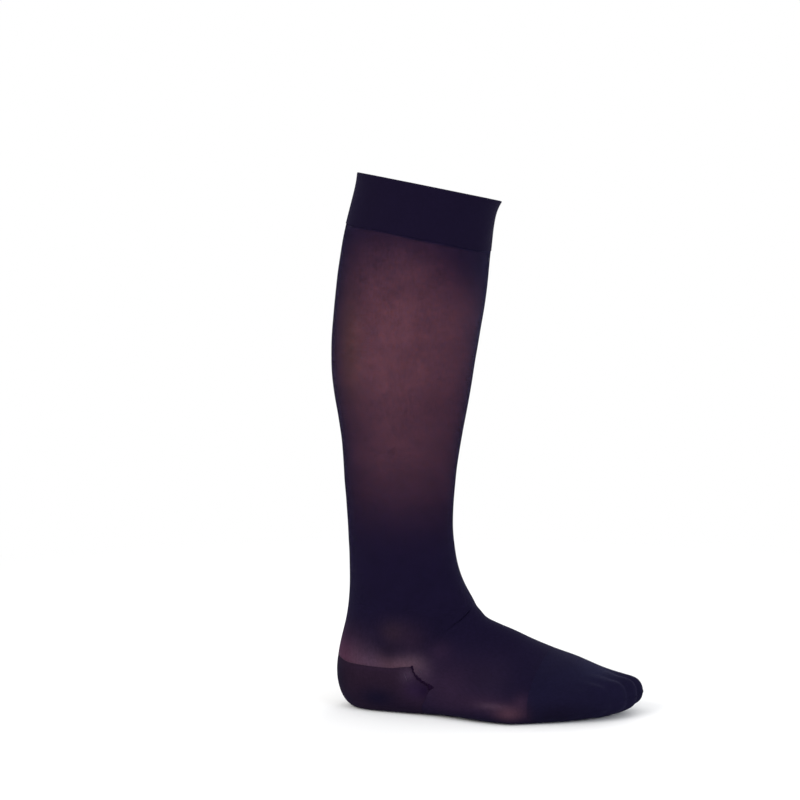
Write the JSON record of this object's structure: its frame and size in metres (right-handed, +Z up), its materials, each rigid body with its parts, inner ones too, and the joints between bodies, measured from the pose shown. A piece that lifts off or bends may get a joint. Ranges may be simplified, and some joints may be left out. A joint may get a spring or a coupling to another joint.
{
  "type": "compression stocking",
  "caption": "Knee-length compression stocking with a closed toe, a doubled top band and a heel pocket, in the hollow form it keeps on a right leg.",
  "frame": {"origin": "the middle of the cuff's open mouth, where the wearer's leg holds the stocking up", "axes": "+Z up along the leg, +X towards the toes, +Y towards the inner (big toe) side of a right leg"},
  "size_m": [0.2481, 0.1124, 0.4302],
  "materials": {
    "top_band": "matt doubled knit, almost black with a violet tinge",
    "leg": "fine sheer knit, plum on the calf and blue-black where it is denser at the ankle",
    "heel_pocket": "matt reinforced knit, dark plum",
    "foot": "fine knit, blue-black with a plum tinge beside the heel",
    "toe_cap": "matt reinforced knit, blue-black"
  },
  "bodies": {
    "root": {"top_band": "top_band", "leg": "leg", "heel_pocket": "heel_pocket", "foot": "foot", "toe_cap": "toe_cap"}
  },
  "joints": []
}
